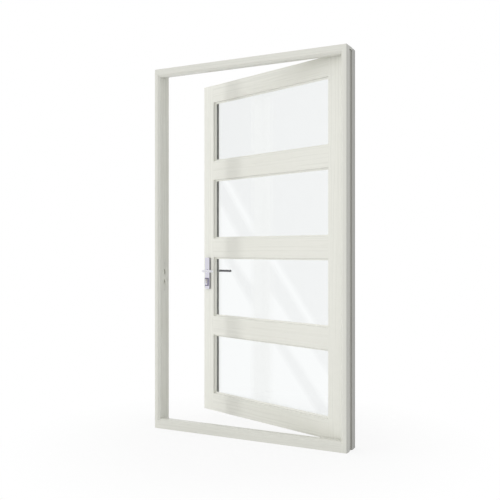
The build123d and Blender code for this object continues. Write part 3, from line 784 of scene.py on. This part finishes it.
class FRONTDOOR_OT_hinges(Operator):
    """Hinges with turned knuckles, domed pins, rounded wings and countersunk screws"""

    bl_idname = "front_door.hinges"
    bl_label = "Hinges"

    wing_corner: length_choice("Wing corner", "Radius of a wing's corners", 6 * MM)

    def execute(self, context):
        for place in HINGES:
            low, high = extent(f"frame_hinge_{place}")
            self.add_half(place, "frame", np.array([1.0, 0, 0]), np.array([0.0, 1, 0]), low[2], high[2])
            self.add_half(place, "leaf", -ALONG, THROUGH, low[2], high[2])
        return {"FINISHED"}

    def add_half(self, place, body, off, rear, foot, head):
        """One half: off points from the pin's axis to the wing, rear from the wing's foot to the axis."""
        axes = (off, rear, UP)
        origin = HINGE_AXIS * (1, 1, 0)
        node = f"{body}_hinge_{place}"
        reach = -extent(node, origin, axes)[0][1]
        sleeve = (head - foot) / 3
        spans = ((foot, foot + sleeve), (head - sleeve, head))
        if body == "leaf":
            spans = ((foot + sleeve + KNUCKLE_GAP, head - sleeve - KNUCKLE_GAP),)
        pieces = [self.flat_wing(-reach, -KNUCKLE_R - KNUCKLE_CLEAR, foot, head, self.wing_corner)]
        for start, end in spans:
            knuckle = (
                (KNUCKLE_R - KNUCKLE_SOFT, start),
                (KNUCKLE_R, start + KNUCKLE_SOFT),
                (KNUCKLE_R, end - KNUCKLE_SOFT),
                (KNUCKLE_R - KNUCKLE_SOFT, end),
            )
            pieces.append(turned(knuckle, settings().sides))
            pieces.append(self.flat_wing(-KNUCKLE_R - 3 * KNUCKLE_CLEAR, 0, start, end, KNUCKLE_SOFT))
        surface = in_place(joined(*pieces), origin, axes)
        add_piece(f"{body}_side_hinge_{place}", surface, body, material("hinge"), (node,))
        self.add_screws(place, body, axes, origin, reach, foot, head)
        if body == "frame":
            self.add_pin_caps(place, origin, foot, head)

    def flat_wing(self, near, far, foot, head, corner):
        """A flat leaf of the hinge beside the pin, from near to far and from foot to head."""
        outline = rounded_outline(far - near, head - foot, corner)
        layers = []
        for level in (WING_OFF, WING_OFF + WING_T):
            across = outline[:, 0] + (near + far) / 2
            layers.append(np.column_stack([0 * across + level, across, outline[:, 1] + (foot + head) / 2]))
        return stacked(layers)

    def add_screws(self, place, body, axes, origin, reach, foot, head):
        """Countersunk screws in a staggered row, their heads flush with the wing's open face."""
        heads = []
        for k, share in enumerate(WING_SCREWS):
            disc, faces = screw_head(FLUSH_CROWN)
            z = foot + (head - foot) * (k + 0.5) / len(WING_SCREWS)
            points = np.column_stack([WING_OFF - disc[:, 2], disc[:, 0] - reach * share, z + disc[:, 1]])
            heads.append((points, faces))
        surface = in_place(joined(*heads), origin, axes)
        add_piece(f"{body}_hinge_screws_{place}", surface, body, material("screw"))

    def add_pin_caps(self, place, origin, foot, head):
        """A low dome at each end of the pin: its height is a quarter ellipse over its radius."""
        lean = np.linspace(0, pi / 2, 8)
        caps = []
        for level, sign in ((head, 1), (foot, -1)):
            radius = PIN_CAP_R * np.cos(lean) + PIN_CAP_FLAT
            height = level + sign * PIN_CAP_RISE * np.sin(lean)
            caps.append(turned(np.column_stack([radius, height]), settings().sides))
        surface = in_place(joined(*caps), origin, np.eye(3))
        add_piece(f"hinge_pin_caps_{place}", surface, "frame", material("hinge"))


class FRONTDOOR_OT_levers(Operator):
    """Lever handles: a round bar with a swept bend and a flat end with a rounded rim"""

    bl_idname = "front_door.levers"
    bl_label = "Levers"

    def execute(self, context):
        self.add_lever("outside", -1, "lever", "lever_metal")
        # The inside lever takes the near-black coat, a painted shade for its place behind the glass
        self.add_lever("inside", 1, "dark", "dark_furniture")
        return {"FINISHED"}

    def add_lever(self, side, out, finish, slot):
        """The bar starts inside its plate's collar, and runs out, round a quarter-circle bend and along the
        grip. At its end the radius shrinks by rim x (1 - cos) while the bar runs on by rim x sin."""
        values = settings()
        radius, bend, rim = values.lever_radius, values.lever_bend, values.lever_rim
        low, high = leaf_extent(f"{side}_lever")
        plate_low, plate_high = leaf_extent(f"{side}_plate")
        start = (plate_low[1] if out < 0 else plate_high[1]) - out * LEVER_SEAT
        grip = (low[1] if out < 0 else high[1]) - out * radius
        lean = np.linspace(0, pi / 2, 12)
        tip = np.linspace(0, pi / 2, 6)[1:]
        neck_depth = np.linspace(start, grip - out * bend, 4)
        grip_along = np.linspace(bend, high[0] - rim, 10)[1:]
        straight = len(grip_along) + len(tip)
        along = np.concatenate(
            [0 * neck_depth, bend * (1 - np.cos(lean[1:])), grip_along, high[0] - rim + rim * np.sin(tip)]
        )
        depth = np.concatenate(
            [neck_depth, grip - out * bend * (1 - np.sin(lean[1:])), np.full(straight, grip)]
        )
        turn = np.concatenate([0 * neck_depth, lean[1:], np.full(straight, pi / 2)])
        path = np.column_stack([along, depth, np.full(len(along), SPINDLE[2])])
        sideways = np.column_stack([np.cos(turn), -out * np.sin(turn), 0 * turn])
        radii = np.full(len(along), radius)
        radii[-len(tip) :] = radius - rim * (1 - np.cos(tip))
        surface = in_place(bar(path, sideways, UP, radii, values.sides))
        nodes = (f"{side}_lever",)
        add_piece(f"{side}_lever_bar", surface, "levers", material(finish), nodes)


class FRONTDOOR_OT_furniture(Operator):
    """Lock furniture: plates, cylinder guard, cylinder with its keyway, edge plate and strike"""

    bl_idname = "front_door.furniture"
    bl_label = "Lock furniture"

    def execute(self, context):
        for node, finish in (
            ("outside_plate", "silver"),
            ("inside_plate", "dark"),
            ("lock_faceplate", "steel"),
            ("latch_bolt", "nickel"),
            ("dead_bolt", "nickel"),
            ("cylinder_guard", "guard"),
            ("cylinder", "nickel"),
            ("strike_plate", "strike"),
        ):
            finish_node(node, finish)
        self.add_guard_face()
        self.add_cylinder_faces()
        self.add_edge_screws()
        self.add_plate_screws()
        self.add_pocket_liners()
        return {"FINISHED"}

    def add_guard_face(self):
        """A thin bright plate on the guard's raised field, inside its dark rim."""
        low, high = leaf_extent("cylinder_guard")
        width, height = high[0] - low[0] - 2 * GUARD_RIM, high[2] - low[2] - 2 * GUARD_RIM
        points, faces = plate(width, height, GUARD_CORNER, FACE_T, FACE_T / 2)
        centre_z = (low[2] + high[2]) / 2
        local = np.column_stack([points[:, 0], low[1] - points[:, 2], centre_z + points[:, 1]])
        add_piece("guard_face", in_place((local, faces)), "leaf", material("face"))

    def add_cylinder_faces(self):
        """A round plug in each end of the cylinder, with a near-black plate on it as the painted shade of its
        keyway.
        """
        low, high = leaf_extent("cylinder")
        centre_z = high[2] - CYLINDER_R
        bevel_in, bevel_down = PLUG_BEVEL
        profile = [(PLUG_R, -PLUG_SUNK), (PLUG_R, PLUG_PROUD - bevel_down), (PLUG_R - bevel_in, PLUG_PROUD)]
        plugs, keyway_shades = [], []
        for level, sign in ((low[1], -1), (high[1], 1)):
            points, faces = turned(profile, settings().sides)
            depth = level + sign * points[:, 2]
            plugs.append((np.column_stack([points[:, 0], depth, centre_z + points[:, 1]]), faces))
            points, faces = plate(KEYWAY_W, KEYWAY_H, KEYWAY_CORNER, KEYWAY_T, KEYWAY_SOFT)
            depth = level + sign * (KEYWAY_LIFT + points[:, 2])
            height = centre_z - KEYWAY_DROP + points[:, 1]
            keyway_shades.append((np.column_stack([points[:, 0], depth, height]), faces))
        for name, surfaces, finish in (("cylinder_plugs", plugs, "nickel"), ("keyway_shades", keyway_shades, "keyway")):
            add_piece(name, in_place(joined(*surfaces)), "leaf", material(finish))

    def add_edge_screws(self):
        """Screws at both ends of the lock's edge plate and of the strike plate."""
        for node, body, outward, across, origin in (
            ("lock_faceplate", "leaf", -ALONG, THROUGH, LEAF_ORIGIN),
            ("strike_plate", "frame", np.array([1.0, 0, 0]), np.array([0.0, 1, 0]), np.zeros(3)),
        ):
            axes = (outward, across, UP)
            low, high = extent(node, origin, axes)
            middle = (low[1] + high[1]) / 2
            heads = []
            for z in (low[2] + EDGE_SCREW_IN, high[2] - EDGE_SCREW_IN):
                disc, faces = screw_head(EDGE_CROWN)
                points = np.column_stack([high[0] + disc[:, 2], middle + disc[:, 0], z + disc[:, 1]])
                heads.append((points, faces))
            surface = in_place(joined(*heads), origin, axes)
            add_piece(f"{node}_screws", surface, body, material("screw"))

    def add_plate_screws(self):
        """Two oval-headed screws that clamp the inside plate to the outside one; their heads sit on the
        plate's face, below the top of its collar."""
        low, high = leaf_extent("inside_plate")
        face = high[1] - COLLAR_H
        heads = []
        for z in (low[2] + PLATE_SCREW_IN, high[2] - PLATE_SCREW_IN):
            disc, faces = screw_head(OVAL_CROWN)
            heads.append((np.column_stack([disc[:, 0], face + disc[:, 2], z + disc[:, 1]]), faces))
        add_piece("inside_plate_screws", in_place(joined(*heads)), "leaf", material("dark"))

    def add_pocket_liners(self):
        """Thin pale boxes, open at the front, that line the latch's and the bolt's pockets in the jamb. Each
        is four rectangles in turn: the inside's back and mouth, then the outside's mouth and back."""
        low, high = extent("strike_plate")
        middle = (low[1] + high[1]) / 2
        mouth = low[0] - LINER_PROUD
        back = high[0] - POCKET_DEEP
        liners = []
        for z, tall in POCKETS:
            outer = (POCKET_HALF, tall / 2 - LINER_PLAY)
            inner = (outer[0] - LINER_T, outer[1] - LINER_T)
            places = (back + LINER_T, mouth, mouth, back + LINER_PLAY)
            layers = []
            for x, (a, b) in zip(places, (inner, inner, outer, outer)):
                corners = ((-a, -b), (a, -b), (a, b), (-a, b))
                layers.append([[x, middle + across, z + up] for across, up in corners])
            liners.append(stacked(layers))
        add_piece("strike_pocket_liners", joined(*liners), "frame", material("liner"))


class FRONTDOOR_OT_stage(Operator):
    """Pale floor, plain soft light, white background and the camera"""

    bl_idname = "front_door.stage"
    bl_label = "Stage"

    sensor: FloatProperty(name="Sensor", description="Width of the camera's sensor", default=36.0)

    def execute(self, context):
        self.add_camera()
        self.add_floor()
        self.add_world()
        self.add_key_lamp()
        self.add_card("grey_card", [CARD_CORNERS], CARD_AWAY, CARD_LEVEL)
        self.add_card("pale_shapes", PALE_SHAPES, CARD_AWAY - CARD_STEP, PALE_LEVEL)
        context.scene.view_settings.view_transform = "Standard"
        return {"FINISHED"}

    def add_camera(self):
        """A level camera: verticals stay parallel, as in the photograph."""
        data = bpy.data.cameras.new("camera")
        data.lens = self.sensor * FOCAL_PIXELS / (2 * HALF_PICTURE)
        data.sensor_width = self.sensor
        data.clip_end = CAMERA_REACH
        camera = bpy.data.objects.new("camera", data)
        camera.location = CAMERA_PLACE
        camera.rotation_euler = (pi / 2, 0, CAMERA_TURN)
        bpy.context.scene.collection.objects.link(camera)
        bpy.context.scene.camera = camera

    def seen_directly(self, tree):
        """1 for rays from the camera and for those that a mirror or a pane passes on, 0 for soft light."""
        path = add_node(tree, "ShaderNodeLightPath")
        either = add_node(
            tree,
            "ShaderNodeMath",
            {0: path.outputs["Is Camera Ray"], 1: path.outputs["Is Glossy Ray"]},
            operation="MAXIMUM",
        )
        every = add_node(
            tree,
            "ShaderNodeMath",
            {0: either.outputs[0], 1: path.outputs["Is Transmission Ray"]},
            operation="MAXIMUM",
        )
        return every.outputs[0]

    def add_floor(self):
        """A wide matt floor that the camera sees as near white, with the door's shadow kept. Mirrored rays
        pass through it to the white room and the cards."""
        floor = to_mesh("floor", turned([(FLOOR_R, -FLOOR_T), (FLOOR_R, 0.0)], FLOOR_SIDES))
        stuff = new_material("pale_matt_floor")
        tree = stuff.node_tree
        place = add_node(tree, "ShaderNodeTexCoord").outputs["Object"]
        away = add_node(tree, "ShaderNodeVectorMath", {0: place}, operation="LENGTH").outputs["Value"]
        fade = {"From Min": FLOOR_NEAR, "From Max": FLOOR_FAR, "To Min": FLOOR_SHARE, "To Max": 1.0}
        far = add_node(tree, "ShaderNodeMapRange", {"Value": away, **fade}).outputs["Result"]
        share = add_node(
            tree, "ShaderNodeMath", {0: self.seen_directly(tree), 1: far}, operation="MULTIPLY"
        ).outputs[0]
        matt = add_node(tree, "ShaderNodeBsdfDiffuse", {"Color": FLOOR_COLOUR}).outputs[0]
        white = add_node(tree, "ShaderNodeEmission", {"Color": WHITE, "Strength": 1.0}).outputs[0]
        seen = add_node(tree, "ShaderNodeMixShader", {0: share, 1: matt, 2: white}).outputs[0]
        mirror_ray = add_node(tree, "ShaderNodeLightPath").outputs["Glossy Depth"]
        clear = add_node(tree, "ShaderNodeBsdfTransparent").outputs[0]
        mix = add_node(tree, "ShaderNodeMixShader", {0: mirror_ray, 1: seen, 2: clear})
        floor.data.materials.append(finish_material(stuff, mix))

    def add_world(self):
        """A soft room, white to the eye. Its light from a direction is each wall's level times the square
        of how far the direction leans towards that wall."""
        world = bpy.data.worlds.new("studio")
        world.use_nodes = True
        tree = world.node_tree
        tree.nodes.clear()
        way = add_node(tree, "ShaderNodeTexCoord").outputs["Generated"]
        sums = []
        for pick, walls in (
            ("MAXIMUM", (LIGHT["right"], LIGHT["back"], LIGHT["top"])),
            ("MINIMUM", (LIGHT["left"], LIGHT["front"], 0.0)),
        ):
            half = add_node(tree, "ShaderNodeVectorMath", {0: way, 1: (0, 0, 0)}, operation=pick).outputs[0]
            lean = add_node(tree, "ShaderNodeVectorMath", {0: way, 1: half}, operation="MULTIPLY").outputs[0]
            total = add_node(tree, "ShaderNodeVectorMath", {0: lean, 1: walls}, operation="DOT_PRODUCT")
            sums.append(total.outputs["Value"])
        soft = add_node(tree, "ShaderNodeMath", {0: sums[0], 1: sums[1]}, operation="ADD").outputs[0]
        level = add_node(
            tree, "ShaderNodeMapRange", {"Value": self.seen_directly(tree), "To Min": soft, "To Max": 1.0}
        ).outputs["Result"]
        light = add_node(tree, "ShaderNodeBackground", {"Color": WHITE, "Strength": level})
        add_node(tree, "ShaderNodeOutputWorld", {"Surface": light.outputs[0]})
        bpy.context.scene.world = world

    def add_key_lamp(self):
        """One tall narrow soft lamp at the front left, whose shadow of the lock jamb falls on the rails. Its
        power is radiance x area x pi."""
        data = bpy.data.lights.new("key", "AREA")
        data.shape = "RECTANGLE"
        data.size, data.size_y = KEY_SIZE
        data.energy = LIGHT["key"] * KEY_SIZE[0] * KEY_SIZE[1] * pi
        lamp = bpy.data.objects.new("key", data)
        lamp.location = KEY_PLACE
        lamp.rotation_mode = "QUATERNION"
        lamp.rotation_quaternion = (Vector(KEY_TARGET) - Vector(KEY_PLACE)).to_track_quat("-Z", "Y")
        lamp.visible_camera = False
        lamp.visible_glossy = False
        lamp.visible_transmission = False
        bpy.context.scene.collection.objects.link(lamp)

    def mirrored(self, way):
        """A direction mirrored by the leaf's plane: the direction less twice its part along the normal."""
        return way - 2 * (way @ THROUGH) * THROUGH

    def add_card(self, name, shapes, away, level):
        """Flat shapes on an upright board that only mirrored rays meet: each corner is where its pixel's
        mirrored ray, from the camera's place mirrored by the panes, meets the board."""
        right = np.array([np.cos(CAMERA_TURN), np.sin(CAMERA_TURN), 0.0])
        ahead = np.array([-np.sin(CAMERA_TURN), np.cos(CAMERA_TURN), 0.0])
        in_front = (CAMERA_PLACE - LEAF_ORIGIN) @ THROUGH - PANE_MIRROR_DEPTH
        eye = CAMERA_PLACE - 2 * in_front * THROUGH
        step = away / FOCAL_PIXELS
        points, faces = [], []
        for shape in shapes:
            faces.append(list(range(len(points), len(points) + len(shape))))
            for x, y in shape:
                across, up = (x - HALF_PICTURE) * step, (HALF_PICTURE - y) * step
                points.append(eye + self.mirrored(ahead * away + right * across) + UP * up)
        mesh = bpy.data.meshes.new(name)
        mesh.from_pydata(points, [], faces)
        card = bpy.data.objects.new(name, mesh)
        stuff = new_material(name)
        tree = stuff.node_tree
        mirror_ray = add_node(tree, "ShaderNodeLightPath").outputs["Glossy Depth"]
        clear = add_node(tree, "ShaderNodeBsdfTransparent").outputs[0]
        glow = add_node(tree, "ShaderNodeEmission", {"Color": WHITE, "Strength": level}).outputs[0]
        mix = add_node(tree, "ShaderNodeMixShader", {0: mirror_ray, 1: clear, 2: glow})
        mesh.materials.append(finish_material(stuff, mix))
        card.visible_camera = False
        card.visible_diffuse = False
        card.visible_shadow = False
        bpy.context.scene.collection.objects.link(card)


OPERATORS = (
    FRONTDOOR_OT_materials,
    FRONTDOOR_OT_stage,
    FRONTDOOR_OT_timber,
    FRONTDOOR_OT_glazing,
    FRONTDOOR_OT_hinges,
    FRONTDOOR_OT_levers,
    FRONTDOOR_OT_furniture,
)


class FRONTDOOR_PT_panel(Panel):
    """Front door in the sidebar"""

    bl_label = "Front Door"
    bl_idname = "FRONTDOOR_PT_panel"
    bl_space_type = "VIEW_3D"
    bl_region_type = "UI"
    bl_category = "Front Door"

    def draw(self, context):
        values = settings()
        for name in FRONTDOOR_PG_settings.__annotations__:
            self.layout.prop(values, name)
        for operator in OPERATORS:
            self.layout.operator(operator.bl_idname)


CLASSES = (FRONTDOOR_PG_settings, *OPERATORS, FRONTDOOR_PT_panel)


def register():
    """Register the classes and the settings."""
    for item in CLASSES:
        bpy.utils.register_class(item)
    setattr(bpy.types.Scene, SETTINGS, PointerProperty(type=FRONTDOOR_PG_settings))


def unregister():
    """Remove the settings and the classes."""
    delattr(bpy.types.Scene, SETTINGS)
    for item in reversed(CLASSES):
        bpy.utils.unregister_class(item)


def main():
    """Dress the door."""
    register()
    bpy.ops.front_door.materials()
    bpy.ops.front_door.stage()
    bpy.ops.front_door.timber()
    bpy.ops.front_door.glazing()
    bpy.ops.front_door.hinges()
    bpy.ops.front_door.levers()
    bpy.ops.front_door.furniture()


if __name__ == "__main__":
    main()
